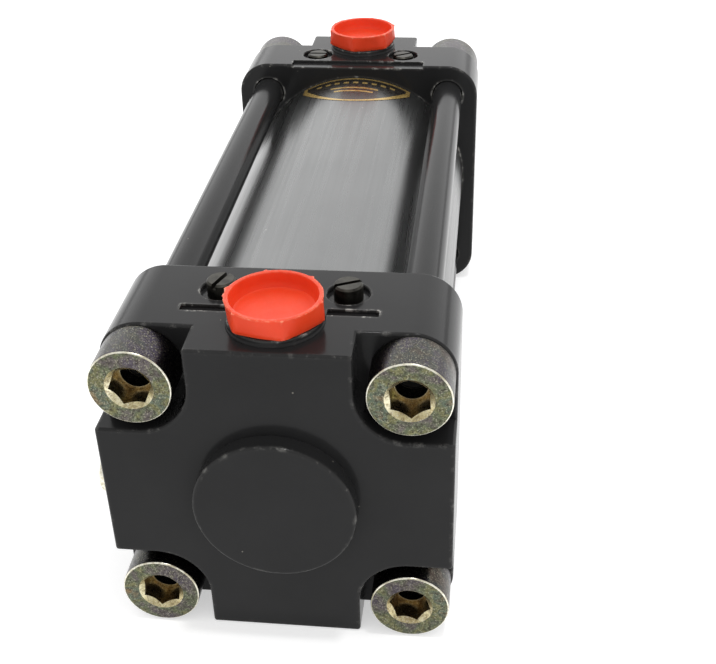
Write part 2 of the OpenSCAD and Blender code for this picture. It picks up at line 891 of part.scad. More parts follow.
cap_head();
rod_head();
cylinder_tube();
tube_label();
tie_rod(-1, 1);  // tie_rod_top_left
tie_rod(1, 1);  // tie_rod_top_right
tie_rod(-1, -1);  // tie_rod_bottom_left
tie_rod(1, -1);  // tie_rod_bottom_right
tie_rod_nuts_cap_end();
tie_rod_nuts_rod_end();
tube_seal(cap_inner_y - tube_seal_inset);  // tube_seal_cap_end
tube_seal(rod_inner_y + tube_seal_inset);  // tube_seal_rod_end
port_plug(cap_port_station, cap_plug_turn);  // port_plug_cap_end
port_plug(rod_port_station, rod_plug_turn);  // port_plug_rod_end
side_pipe_plug();
cushion_needle(cap_valve_y, cap_valve_proud, 25);  // cushion_needle_cap_end
cushion_needle(rod_valve_y, rod_valve_proud, 30);  // cushion_needle_rod_end
valve_o_ring(valve_x, cap_valve_y, cap_valve_proud);  // needle_o_ring_cap_end
valve_o_ring(valve_x, rod_valve_y, rod_valve_proud);  // needle_o_ring_rod_end
check_valve_plug(cap_valve_y, cap_valve_proud, 70);  // check_valve_plug_cap_end
check_valve_plug(rod_valve_y, rod_valve_proud, 0);  // check_valve_plug_rod_end
valve_o_ring(-valve_x, cap_valve_y, cap_valve_proud);  // check_plug_o_ring_cap_end
valve_o_ring(-valve_x, rod_valve_y, rod_valve_proud);  // check_plug_o_ring_rod_end
check_spring(cap_valve_y, cap_valve_proud);  // check_spring_cap_end
check_spring(rod_valve_y, rod_valve_proud);  // check_spring_rod_end
check_ball(cap_valve_y);  // check_ball_cap_end
check_ball(rod_valve_y);  // check_ball_rod_end
cushion_seal(cap_inner_y + cushion_groove_inset, spear_d);  // cushion_seal_cap_end
cushion_seal(rod_inner_y - cushion_groove_inset - cushion_seal_w, sleeve_d);  // cushion_seal_rod_end
rod_bush();
rod_seal();
rod_wiper();
piston();
piston_seal(piston_y + piston_seal_inset, false);  // piston_seal_cap_side
piston_seal(piston_y + piston_l - piston_seal_inset - piston_seal_w, true);  // piston_seal_rod_side
piston_guide_ring();
cushion_spear();
cushion_sleeve();
piston_o_ring();
piston_rod();
rod_end_nut();
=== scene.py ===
"""Looks of a double-acting tie-rod pneumatic cylinder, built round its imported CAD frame.

Meshes are built in millimetres in the frame's own axes and scaled to metres when they become objects:
+Y runs from the cap end to the rod end, +Z is up, and the cap head's end face is at y = 0.
"""
import json
import math
import random

import bmesh
import bpy
from mathutils import Matrix, Vector


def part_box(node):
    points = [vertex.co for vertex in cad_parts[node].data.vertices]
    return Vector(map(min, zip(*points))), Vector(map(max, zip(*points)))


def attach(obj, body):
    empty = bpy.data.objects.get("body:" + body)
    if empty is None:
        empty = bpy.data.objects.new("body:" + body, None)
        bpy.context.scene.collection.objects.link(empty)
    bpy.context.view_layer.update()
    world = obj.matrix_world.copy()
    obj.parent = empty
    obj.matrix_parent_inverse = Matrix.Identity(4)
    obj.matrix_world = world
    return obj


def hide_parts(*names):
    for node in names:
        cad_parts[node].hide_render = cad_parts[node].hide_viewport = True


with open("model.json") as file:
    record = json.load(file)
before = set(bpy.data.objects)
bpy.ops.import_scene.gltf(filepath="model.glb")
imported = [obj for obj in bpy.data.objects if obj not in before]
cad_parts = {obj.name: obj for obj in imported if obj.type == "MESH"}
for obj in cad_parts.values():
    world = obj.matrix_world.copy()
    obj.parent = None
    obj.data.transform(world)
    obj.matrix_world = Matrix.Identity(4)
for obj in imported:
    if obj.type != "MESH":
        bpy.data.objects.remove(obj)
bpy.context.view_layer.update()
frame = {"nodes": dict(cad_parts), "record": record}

MM = 0.001
BODY = "cylinder_body"


# ---- What the frame says ----

def node_box(name):
    """Lowest and highest corner of a CAD node, in millimetres."""
    low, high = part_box(name)
    return low / MM, high / MM


def node_centre(name):
    low, high = node_box(name)
    return (low + high) / 2


cap_low, cap_high = node_box("cap_head")
rod_low, rod_high = node_box("rod_head")
tube_low, tube_high = node_box("cylinder_tube")
label_low, label_high = node_box("tube_label")
nuts_low, nuts_high = node_box("tie_rod_nuts_cap_end")
tie_rod_centre = node_centre("tie_rod_top_right")
rod_low_y, rod_end_y = (corner.y for corner in node_box("piston_rod"))

# Half the heads' width, and how far each tie rod stands from the axis along X and along Z
half_w = cap_high.x
tie_c = tie_rod_centre.x
tube_r = tube_high.x
nut_r = nuts_high.x - tie_c
nut_face_y = nuts_low.y

# Sizes that a box doesn't give, the same as the CAD model's
tube_recess = 5
tube_wall = 2
spigot_gap = 0.1
spigot_proud = 2.4
cap_inner_y = tube_low.y + tube_recess
rod_inner_y = tube_high.y - tube_recess
rod_face_y = node_box("tie_rod_nuts_rod_end")[1].y + nut_face_y
corner_r = 9.5
edge_r = 0.7
notch_depth = 9.2
notch_r = nut_r + 2.5
pilot_r = 17.5
rod_r = 10
tie_hole_r = 4.8
nut_hole_r = 7
nut_head_l = 9.9
nut_sleeve_l = 10
socket_mouth_r = 5.0
socket_mouth_l = 1.4
socket_depth = 5.5
port_boss_r = 10
port_boss_h = 1.5
port_hole_r = 7.5
port_floor_z = 25
valve_x = 13.6
valve_recess_r = 4.6
valve_recess_h = 1.2
valve_bore_r = 3.2
valve_seat_z = 14
plug_cup_h = node_box("port_plug_cap_end")[1].z - half_w - port_boss_h
cap_port_y = node_centre("port_plug_cap_end").y
rod_port_y = node_centre("port_plug_rod_end").y
cap_valve_y = node_centre("cushion_needle_cap_end").y
rod_valve_y = node_centre("cushion_needle_rod_end").y


# ---- Mesh tools ----

def arc(cx, cy, radius, start, end, steps):
    """Points along an arc, angles in degrees, both ends included."""
    angles = [math.radians(start + (end - start) * i / steps) for i in range(steps + 1)]
    return [(cx + radius * math.cos(a), cy + radius * math.sin(a)) for a in angles]


def rounded(points, radius, steps=4):
    """A polyline with its inner corners rounded, by one radius or by one for each inner corner."""
    radii = radius if isinstance(radius, (list, tuple)) else [radius] * (len(points) - 2)
    made = [points[0]]
    for before, corner, after, r in zip(points, points[1:], points[2:], radii):
        a, b, c = Vector(before), Vector(corner), Vector(after)
        u, v = (a - b), (c - b)
        r = min(r, 0.45 * u.length, 0.45 * v.length)
        if r <= 0 or abs(u.normalized().dot(v.normalized())) > 0.999:
            made.append(corner)
            continue
        start, end = b + u.normalized() * r, b + v.normalized() * r
        for i in range(steps + 1):
            t = i / steps
            p = start * (1 - t) ** 2 + b * 2 * t * (1 - t) + end * t ** 2
            made.append((p.x, p.y))
    made.append(points[-1])
    return made


def prism(outline, low, high):
    """A closed solid that stands on the outline, from z = low to z = high."""
    bm = bmesh.new()
    bottom = [bm.verts.new((x, y, low)) for x, y in outline]
    top = [bm.verts.new((x, y, high)) for x, y in outline]
    bm.faces.new(list(reversed(bottom)))
    bm.faces.new(top)
    for i in range(len(outline)):
        k = (i + 1) % len(outline)
        bm.faces.new((bottom[i], bottom[k], top[k], top[i]))
    bmesh.ops.recalc_face_normals(bm, faces=bm.faces)
    return bm


def lathe(profile, steps=96):
    """A solid of revolution about Z from (radius, z) points, or a ring if they miss the axis."""
    bm = bmesh.new()
    rings = []
    for r, z in profile:
        if r < 1e-6:
            rings.append([bm.verts.new((0, 0, z))])
        else:
            turns = [2 * math.pi * i / steps for i in range(steps)]
            rings.append([bm.verts.new((r * math.cos(a), r * math.sin(a), z)) for a in turns])
    closed = profile[0][0] > 1e-6 and profile[-1][0] > 1e-6
    pairs = list(zip(rings, rings[1:])) + ([(rings[-1], rings[0])] if closed else [])
    for one, two in pairs:
        for i in range(steps):
            k = (i + 1) % steps
            corners = [one[i % len(one)], one[k % len(one)], two[k % len(two)], two[i % len(two)]]
            face = list(dict.fromkeys(corners))
            if len(face) > 2:
                bm.faces.new(face)
    bmesh.ops.recalc_face_normals(bm, faces=bm.faces)
    return bm


def moved(bm, matrix):
    """The same mesh after a transform. A mirror keeps its faces outward."""
    bm.transform(matrix)
    if matrix.determinant() < 0:
        bmesh.ops.reverse_faces(bm, faces=bm.faces)
    return bm


def bar(radius, low, high, steps):
    """A plain round bar about Z."""
    return lathe([(0, low), (radius, low), (radius, high), (0, high)], steps)


def box_mesh(low, high):
    outline = [(low[0], low[1]), (high[0], low[1]), (high[0], high[1]), (low[0], high[1])]
    return prism(outline, low[2], high[2])


def at(x, y, z):
    return Matrix.Translation((x, y, z))


# Turns for meshes made about Z: Z goes to +Y, to -X, or to -Y with the outline's y going up
ALONG_Y = Matrix.Rotation(math.radians(-90), 4, "X")
ALONG_MINUS_X = Matrix.Rotation(math.radians(-90), 4, "Y")
STOOD_UP = Matrix.Rotation(math.radians(90), 4, "X")


def round_edges(bm, width, steps=3, sharper_than=40):
    """Rounds the outward edges whose faces meet more sharply than an angle in degrees."""
    limit = math.radians(sharper_than)
    edges = [e for e in bm.edges if len(e.link_faces) == 2 and e.calc_face_angle_signed(0) > limit]
    bmesh.ops.bevel(
        bm,
        geom=edges,
        offset=width,
        offset_type="OFFSET",
        segments=steps,
        profile=0.5,
        affect="EDGES",
        clamp_overlap=True,
    )
    return bm


def to_object(name, bm):
    mesh = bpy.data.meshes.new(name)
    bm.to_mesh(mesh)
    bm.free()
    obj = bpy.data.objects.new(name, mesh)
    bpy.context.scene.collection.objects.link(obj)
    return obj


def combine(obj, bm, operation):
    """Puts a closed mesh and an object together with a boolean, and keeps the result in the object."""
    tool = to_object(obj.name + "_tool", bm)
    modifier = obj.modifiers.new("combine", "BOOLEAN")
    modifier.operation = operation
    modifier.solver = "EXACT"
    modifier.object = tool
    depsgraph = bpy.context.evaluated_depsgraph_get()
    made = bpy.data.meshes.new_from_object(obj.evaluated_get(depsgraph), depsgraph=depsgraph)
    obj.modifiers.clear()
    old = obj.data
    obj.data = made
    made.name = obj.name
    bpy.data.meshes.remove(old)
    bpy.data.objects.remove(tool)
    return obj


def cut(obj, bm):
    return combine(obj, bm, "DIFFERENCE")


def unite(obj, bm):
    return combine(obj, bm, "UNION")


def flared_hole(radius, low, high, flare):
    """A drill whose mouth at z = high is wider by flare, which leaves the hole's edge chamfered."""
    top = high + flare
    profile = [(0, low), (radius, low), (radius, high - flare), (radius + 2 * flare, top), (0, top)]
    return lathe(profile, 64)


def merge(target, extra):
    """Adds the second mesh's faces to the first."""
    mesh = bpy.data.meshes.new("extra")
    extra.to_mesh(mesh)
    extra.free()
    target.from_mesh(mesh)
    bpy.data.meshes.remove(mesh)
    return target


def shade(obj, sharper_than=32):
    """Smooth faces with sharp edges, and normals that keep the flat faces flat."""
    limit = math.radians(sharper_than)
    mesh = obj.data
    bm = bmesh.new()
    bm.from_mesh(mesh)
    bmesh.ops.remove_doubles(bm, verts=bm.verts, dist=1e-7)
    bmesh.ops.dissolve_degenerate(bm, edges=bm.edges, dist=1e-7)
    for face in bm.faces:
        face.smooth = True
    for edge in bm.edges:
        edge.smooth = len(edge.link_faces) == 2 and edge.calc_face_angle(0) < limit
    bm.to_mesh(mesh)
    bm.free()
    weighted = obj.modifiers.new("flat_faces", "WEIGHTED_NORMAL")
    weighted.keep_sharp = True
    weighted.weight = 80
    return obj


def place(obj, body, slot, material, *nodes):
    """Makes an object built in millimetres a finished piece that rides on a body, for its nodes."""
    obj.data.transform(Matrix.Scale(MM, 4))
    shade(obj)
    obj.data.materials.clear()
    obj.data.materials.append(material)
    for face in obj.data.polygons:
        face.material_index = 0
    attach(obj, body)
    if nodes:
        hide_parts(*nodes)
    return obj


# ---- Materials ----

# Nearly all of a noise pattern's values lie between these two
NOISE_LOW = 0.3
NOISE_HIGH = 0.7


class Shader:
    """A node tree with one Principled shader, and short calls for the nodes that the finishes share."""

    def __init__(self, name):
        self.material = bpy.data.materials.new(name)
        self.material.use_nodes = True
        self.tree = self.material.node_tree
        self.tree.nodes.clear()
        output = self.node("ShaderNodeOutputMaterial")
        self.principled = self.node("ShaderNodeBsdfPrincipled")
        self.link(self.principled.outputs[0], output.inputs["Surface"])
        self.coords = self.node("ShaderNodeTexCoord").outputs["Object"]

    def node(self, kind, **settings):
        made = self.tree.nodes.new(kind)
        for key, value in settings.items():
            setattr(made, key, value)
        return made

    def link(self, start, end):
        self.tree.links.new(start, end)

    def set(self, **values):
        """Plain values on the shader's own sockets: Base_Color=(...), Roughness=0.4."""
        for key, value in values.items():
            socket = self.principled.inputs[key.replace("_", " ")]
            socket.default_value = (*value, 1) if socket.type == "RGBA" else value

    def feed(self, socket, start):
        """A linked value for one of the shader's own sockets."""
        self.link(start, self.principled.inputs[socket])

    def stretched(self, x, y, z):
        """The object's coordinates scaled along each axis, for grain that runs one way."""
        mapping = self.node("ShaderNodeMapping")
        mapping.inputs["Scale"].default_value = (x, y, z)
        self.link(self.coords, mapping.inputs["Vector"])
        return mapping.outputs[0]

    def noise(self, scale, detail=4.0, roughness=0.55, coords=None):
        made = self.node("ShaderNodeTexNoise")
        made.inputs["Scale"].default_value = scale
        made.inputs["Detail"].default_value = detail
        made.inputs["Roughness"].default_value = roughness
        self.link(coords or self.coords, made.inputs["Vector"])
        return made.outputs["Fac"]

    def specks(self, scale, size, share):
        """1 inside sparse round specks, else 0. share is how many of the pattern's cells have one."""
        cells = self.node("ShaderNodeTexVoronoi")
        cells.inputs["Scale"].default_value = scale
        self.link(self.coords, cells.inputs["Vector"])
        near = self.math("LESS_THAN", cells.outputs["Distance"], size)
        split = self.node("ShaderNodeSeparateColor")
        self.link(cells.outputs["Color"], split.inputs[0])
        chosen = self.math("LESS_THAN", split.outputs[0], share)
        return self.math("MULTIPLY", near, chosen)

    def math(self, operation, a, b=0.0):
        made = self.node("ShaderNodeMath", operation=operation)
        for value, socket in ((a, made.inputs[0]), (b, made.inputs[1])):
            if isinstance(value, (int, float)):
                socket.default_value = value
            else:
                self.link(value, socket)
        return made.outputs[0]

    def spread(self, value, low, high, to_low, to_high):
        """Maps low..high to to_low..to_high, clamped."""
        made = self.node("ShaderNodeMapRange")
        made.inputs["From Min"].default_value = low
        made.inputs["From Max"].default_value = high
        made.inputs["To Min"].default_value = to_low
        made.inputs["To Max"].default_value = to_high
        self.link(value, made.inputs["Value"])
        return made.outputs[0]

    def ramp(self, value, *stops):
        """A colour ramp from (position, (r, g, b)) stops."""
        made = self.node("ShaderNodeValToRGB")
        elements = made.color_ramp.elements
        while len(elements) < len(stops):
            elements.new(0.5)
        for element, (position, colour) in zip(elements, stops):
            element.position = position
            element.color = (*colour, 1)
        self.link(value, made.inputs[0])
        return made.outputs[0]

    def mix(self, share, a, b):
        """Goes from colour a to b as share goes from 0 to 1. Each is a link or a plain colour."""
        made = self.node("ShaderNodeMix", data_type="RGBA")
        self.link(share, made.inputs[0])
        colour_inputs = [s for s in made.inputs if s.type == "RGBA"]
        for value, socket in zip((a, b), colour_inputs):
            if isinstance(value, tuple):
                socket.default_value = (*value, 1)
            else:
                self.link(value, socket)
        return [s for s in made.outputs if s.type == "RGBA"][0]

    def tones(self, pattern, dark, light):
        """Drifts between two colours over the middle of a noise pattern."""
        return self.ramp(pattern, (NOISE_LOW, dark), (NOISE_HIGH, light))

    def drift(self, pattern, low, high):
        """Drifts between two numbers over the middle of a noise pattern."""
        return self.spread(pattern, NOISE_LOW, NOISE_HIGH, low, high)

    def bump(self, strength, distance, *heights):
        """Bump from the sum of heights, distance in metres."""
        total = heights[0]
        for height in heights[1:]:
            total = self.math("ADD", total, height)
        made = self.node("ShaderNodeBump")
        made.inputs["Strength"].default_value = strength
        made.inputs["Distance"].default_value = distance
        self.link(total, made.inputs["Height"])
        self.link(made.outputs[0], self.principled.inputs["Normal"])

    def outward_edges(self, reach, sharp=0.55, blunt=0.85):
        """1 on outward edges and 0 on open faces, from how much solid lies close under the surface."""
        inside = self.node("ShaderNodeAmbientOcclusion", inside=True, samples=8, only_local=True)
        inside.inputs["Distance"].default_value = reach
        return self.spread(inside.outputs["AO"], sharp, blunt, 1, 0)

    def facing_ends(self):
        """1 where a face looks along the cylinder, 0 where it looks sideways."""
        split = self.node("ShaderNodeSeparateXYZ")
        self.link(self.node("ShaderNodeNewGeometry").outputs["Normal"], split.inputs[0])
        return self.spread(self.math("ABSOLUTE", split.outputs["Y"]), 0.35, 0.8, 0, 1)


def black_enamel():
    """Black paint with a slight orange peel, dust specks, and pale marks along the outward edges:
    chipping, and painted glints.
    """
    s = Shader("black_enamel")
    peel = s.noise(420, 2)
    fine = s.noise(2400, 2)
    dapple = s.noise(45, 5)
    dust = s.specks(800, 0.13, 0.006)
    edges = s.outward_edges(0.0008, 0.6, 0.92)
    # Pale marks on the outward edges: chipped paint, and painted glints where the edges would catch the
    # light
    chips_and_glints = s.math("MULTIPLY", edges, s.spread(s.noise(320, 6, 0.7), 0.53, 0.64, 0.08, 1))
    black = s.ramp(dapple, (0.3, (0.0165, 0.0165, 0.0168)), (0.75, (0.0210, 0.0210, 0.0214)))
    dusty = s.mix(dust, black, (0.22, 0.21, 0.18))
    s.feed("Base Color", s.mix(chips_and_glints, dusty, (0.46, 0.45, 0.42)))
    gloss = s.drift(dapple, 0.13, 0.20)
    s.feed("Roughness", s.math("ADD", gloss, s.math("MULTIPLY", dust, 0.4)))
    s.bump(0.12, 0.00006, peel, s.math("MULTIPLY", fine, 0.4), dust)
    s.set(IOR=1.22)
    return s.material


def grey_tube():
    """Drawn grey tube: fine lines along it, clouds in its tone and a little dust."""
    s = Shader("grey_tube")
    drawn = s.noise(1, 3, coords=s.stretched(900, 14, 900))
    cloud = s.noise(35, 4)
    dust = s.specks(700, 0.12, 0.01)
    tone = s.tones(cloud, (0.146, 0.148, 0.148), (0.168, 0.170, 0.170))
    s.feed("Base Color", s.mix(dust, tone, (0.55, 0.54, 0.51)))
    gloss = s.drift(drawn, 0.22, 0.32)
    s.feed("Roughness", s.math("ADD", gloss, s.math("MULTIPLY", cloud, 0.05)))
    s.bump(0.06, 0.00004, drawn, s.math("MULTIPLY", s.noise(260, 2), 0.5))
    s.set(Metallic=0.85, Anisotropic=0.25, Specular_IOR_Level=0.9)
    return s.material


def yellow_zinc(name, tints, sides, grime, speck):
    """Yellow zinc plating. tints drift over it, and the side tints, if any, paint shade on the faces
    that look sideways.
    """
    s = Shader(name)
    broad, close = s.noise(95, 2), s.noise(420, 4, 0.6)
    drift = s.math("ADD", s.math("MULTIPLY", broad, 0.75), s.math("MULTIPLY", close, 0.25))
    mottle = s.noise(1300, 5, 0.7)
    grain = s.noise(3600, 3)
    tint = s.ramp(drift, *tints)
    # Sideways faces take darker tints: their hue is the plating's, their darkness painted shade
    if sides:
        tint = s.mix(s.facing_ends(), s.ramp(drift, *sides), tint)
    grimy = s.mix(s.spread(mottle, 0.46, 0.62, 0, 0.85), tint, grime)
    # Bright specks: grain in the plating, and painted glints
    sparkle = s.mix(s.spread(grain, 0.55, 0.68, 0, 0.5), grimy, speck)
    # Near-white outward edges: plating wear, and a painted highlight along them
    edge_wear_and_highlight = s.math("MULTIPLY", s.outward_edges(0.0005), 0.85)
    s.feed("Base Color", s.mix(edge_wear_and_highlight, sparkle, (0.80, 0.78, 0.66)))
    s.feed("Roughness", s.drift(mottle, 0.22, 0.40))
    s.bump(0.35, 0.00004, mottle, grain)
    s.set(Metallic=1.0)
    return s.material


def orange_plastic():
    """Red-orange moulded plastic that lets some light through, paler in patches along its edges:
    whitening of the flash, and a painted highlight.
    """
    s = Shader("orange_plastic")
    flow = s.noise(110, 4)
    fine = s.noise(1200, 3)
    red = s.tones(flow, (0.74, 0.050, 0.012), (0.84, 0.064, 0.016))
    patches = s.spread(s.noise(1500, 5, 0.7), 0.42, 0.62, 0.1, 1)
    # Paler patches on the outward edges: whitening, and a painted highlight on the rim
    whitened_and_highlit = s.math("MULTIPLY", s.outward_edges(0.0005, 0.6, 0.92), patches)
    s.feed("Base Color", s.mix(whitened_and_highlit, red, (0.88, 0.32, 0.19)))
    s.feed("Roughness", s.drift(fine, 0.34, 0.50))
    s.bump(0.35, 0.00012, fine, flow)
    s.set(
        Specular_IOR_Level=0.3,
        Subsurface_Weight=0.25,
        Subsurface_Radius=(1.0, 0.2, 0.08),
        Subsurface_Scale=0.0012,
    )
    return s.material


def turned_steel(name, dark, light, roughness):
    """Bare metal with stains that drift between two tones."""
    s = Shader(name)
    stain = s.noise(420, 6, 0.65)
    fine = s.noise(2600, 3)
    s.feed("Base Color", s.tones(stain, dark, light))
    s.feed("Roughness", s.drift(stain, roughness, roughness + 0.14))
    s.bump(0.15, 0.00003, fine, stain)
    s.set(Metallic=1.0)
    return s.material


def hard_chrome():
    """Ground chrome: fine lines round the rod and faint smears."""
    s = Shader("hard_chrome")
    ground = s.noise(1, 3, coords=s.stretched(60, 2600, 60))
    smear = s.noise(90, 4)
    s.feed("Base Color", s.tones(smear, (0.60, 0.61, 0.63), (0.70, 0.71, 0.73)))
    gloss = s.drift(ground, 0.07, 0.13)
    s.feed("Roughness", s.math("ADD", gloss, s.math("MULTIPLY", smear, 0.05)))
    s.bump(0.05, 0.00002, ground)
    s.set(Metallic=1.0)
    return s.material


def soft_rubber():
    """Black seal rubber with a dull bloom."""
    s = Shader("soft_rubber")
    bloom = s.noise(300, 5)
    s.feed("Base Color", s.ramp(bloom, (0.3, (0.010, 0.010, 0.010)), (0.8, (0.032, 0.031, 0.030))))
    s.feed("Roughness", s.drift(bloom, 0.48, 0.66))
    s.bump(0.2, 0.00005, s.noise(2200, 3))
    s.set(Specular_IOR_Level=0.4)
    return s.material


def filled_acetal():
    """Brown filled plastic of the guide ring."""
    s = Shader("filled_acetal")
    grain = s.noise(900, 5)
    s.feed("Base Color", s.tones(grain, (0.15, 0.075, 0.032), (0.20, 0.105, 0.05)))
    s.feed("Roughness", s.drift(grain, 0.45, 0.6))
    s.bump(0.15, 0.00005, grain)
    return s.material


def sintered_bronze():
    """Bronze with dark open pores."""
    s = Shader("sintered_bronze")
    pores = s.specks(2600, 0.22, 0.35)
    grain = s.noise(500, 5)
    tone = s.tones(grain, (0.48, 0.29, 0.11), (0.60, 0.38, 0.16))
    s.feed("Base Color", s.mix(pores, tone, (0.14, 0.08, 0.03)))
    s.feed("Roughness", s.drift(grain, 0.32, 0.45))
    s.bump(0.3, 0.00005, s.math("MULTIPLY", pores, -1.0))
    s.set(Metallic=1.0)
    return s.material


def film(name, low, high, metallic):
    """Printed film in a tone that drifts from low to high."""
    s = Shader(name)
    print_grain = s.noise(800, 4)
    s.feed("Base Color", s.tones(print_grain, low, high))
    s.feed("Roughness", s.drift(print_grain, 0.22, 0.34))
    s.bump(0.08, 0.00003, print_grain)
    s.set(Metallic=metallic)
    return s.material


enamel = black_enamel()
zinc = yellow_zinc(
    "yellow_zinc",
    tints=(
        (0.36, (0.088, 0.076, 0.094)),
        (0.43, (0.118, 0.104, 0.098)),
        (0.48, (0.108, 0.124, 0.078)),
        (0.53, (0.175, 0.170, 0.082)),
        (0.58, (0.100, 0.128, 0.098)),
        (0.64, (0.210, 0.152, 0.086)),
    ),
    # Darker tints for the sideways faces: painted shade on the nuts' sides
    sides=(
        (0.40, (0.034, 0.027, 0.044)),
        (0.48, (0.048, 0.041, 0.054)),
        (0.54, (0.042, 0.046, 0.042)),
        (0.62, (0.066, 0.049, 0.040)),
    ),
    grime=(0.040, 0.035, 0.028),
    speck=(0.50, 0.48, 0.36),
)
# Near-white zinc: a painted highlight, used on the nuts' rims and over the whole side plug
painted_highlight_zinc = yellow_zinc(
    "painted_highlight_yellow_zinc",
    tints=((0.40, (0.46, 0.42, 0.29)), (0.47, (0.90, 0.87, 0.74)), (0.60, (0.97, 0.95, 0.84))),
    sides=None,
    grime=(0.55, 0.50, 0.36),
    speck=(0.98, 0.97, 0.90),
)
# Light gold for the socket's chamfer: a painted highlight
mouth_painted_highlight_zinc = yellow_zinc(
    "mouth_painted_highlight_yellow_zinc",
    tints=((0.38, (0.38, 0.30, 0.15)), (0.50, (0.66, 0.59, 0.34)), (0.62, (0.88, 0.83, 0.60))),
    sides=None,
    grime=(0.24, 0.18, 0.09),
    speck=(0.95, 0.92, 0.78),
)
# Gold inside the hex socket, brighter than the outside faces: painted light, with painted glints in its
# specks
socket_painted_light_zinc = yellow_zinc(
    "socket_painted_light_yellow_zinc",
    tints=((0.38, (0.30, 0.21, 0.11)), (0.50, (0.46, 0.36, 0.19)), (0.62, (0.50, 0.47, 0.24))),
    sides=None,
    grime=(0.13, 0.09, 0.045),
    speck=(0.90, 0.85, 0.66),
)
plug_plastic = orange_plastic()
valve_steel = turned_steel("valve_steel", (0.020, 0.019, 0.017), (0.085, 0.082, 0.070), 0.34)
chrome = hard_chrome()
label_black = film("label_black", (0.012, 0.010, 0.008), (0.020, 0.017, 0.014), 0.0)
label_gold = film("label_gold", (0.46, 0.31, 0.10), (0.60, 0.42, 0.15), 0.6)

FINISHES = {
    "black_paint": enamel,
    "tube_finish": grey_tube(),
    "yellow_zinc": zinc,
    "label_film": label_black,
    "plug_plastic": plug_plastic,
    "valve_steel": valve_steel,
    "inner_steel": turned_steel("inner_steel", (0.42, 0.43, 0.44), (0.58, 0.59, 0.60), 0.22),
    "rod_chrome": chrome,
    "bush_bronze": sintered_bronze(),
    "piston_alloy": turned_steel("piston_alloy", (0.62, 0.63, 0.65), (0.75, 0.76, 0.78), 0.25),
    "seal_rubber": soft_rubber(),
    "guide_plastic": filled_acetal(),
}


def dress_cad_nodes():
    """Gives every CAD node its slot's finish."""
    for row in frame["record"]["subparts"]:
        obj = frame["nodes"][row["node"]]
        obj.data.materials.clear()
        obj.data.materials.append(FINISHES[row["material_slot"]])
        for face in obj.data.polygons:
            face.material_index = 0


# ---- Heads ----

def head_outline():
    """The round-cornered square of both heads."""
    inner = half_w - corner_r
    points = []
    for i, (sx, sy) in enumerate(((1, 1), (-1, 1), (-1, -1), (1, -1))):
        points += arc(sx * inner, sy * inner, corner_r, 90 * i, 90 * (i + 1), 14)
    return points


def notch_outline():
    """One corner notch: an arc round the nut that runs out to both sides of the head."""
    out = half_w + 5
    return (
        [(tie_c - notch_r, out)]
        + arc(tie_c, tie_c, notch_r, 180, 270, 20)
        + [(out, tie_c - notch_r), (out, out)]
    )


def corner_mirrors():
    """Mirrors about the axis that take the +X +Z corner to each of the four."""
    return [Matrix.Diagonal((sx, 1, sz, 1)) for sx in (-1, 1) for sz in (-1, 1)]


def head_block(length):
    """The head's outside with notches and rounded edges, from its end face at y = 0 to y = length."""
    obj = to_object("block", moved(prism(head_outline(), -length, 0), STOOD_UP))
    for mirror in corner_mirrors():
        notch = moved(prism(notch_outline(), -notch_depth, 5), STOOD_UP)
        cut(obj, moved(notch, mirror))
    bm = bmesh.new()
    bm.from_mesh(obj.data)
    bmesh.ops.remove_doubles(bm, verts=bm.verts, dist=1e-4)
    round_edges(bm, edge_r)
    bm.to_mesh(obj.data)
    bm.free()
    return obj


def port_ring():
    """The raised ring round a port, with a soft step at its foot."""
    r, h = port_boss_r, port_boss_h
    profile = [(0, -1), (r + 0.3, -1), (r + 0.3, 0.25), (r, 0.6), (r, h), (0, h)]
    return lathe(rounded(profile, [0, 0.2, 0.2, 0.35], 3), 80)


def head_cavity(length, chamber_y, nose_r):
    """The cushion chamber with its seal groove and mouth, about the axis."""
    end = length + spigot_proud
    chamber_r, mouth_r = 15, nose_r + 1.5
    groove_r, groove_start, groove_end = 18, end - 6, end - 1.5
    profile = [
        (0, chamber_y), (chamber_r, chamber_y), (chamber_r, groove_start), (groove_r, groove_start),
        (groove_r, groove_end), (mouth_r, groove_end), (mouth_r, end + 1), (0, end + 1),
    ]
    return moved(lathe(profile, 72), ALONG_Y)


def spigot(length):
    """The part of the head that stands inside the tube, with its O-ring groove."""
    r = tube_r - tube_wall - spigot_gap
    low, high = length - tube_recess - 1, length + spigot_proud
    groove_r, groove_start, groove_end = r - 2.1, length - 3.5, length - 0.5
    profile = [
        (0, low), (r, low), (r, groove_start), (groove_r, groove_start),
        (groove_r, groove_end), (r, groove_end), (r, high), (0, high),
    ]
    return moved(lathe(profile, 96), ALONG_Y)


def pilot_boss(height, edge):
    """The profile of a head's round boss, heights counted outward. edge is the rounding of its rim."""
    return rounded([(0, -1), (pilot_r, -1), (pilot_r, height), (0, height)], [0, edge], 5)


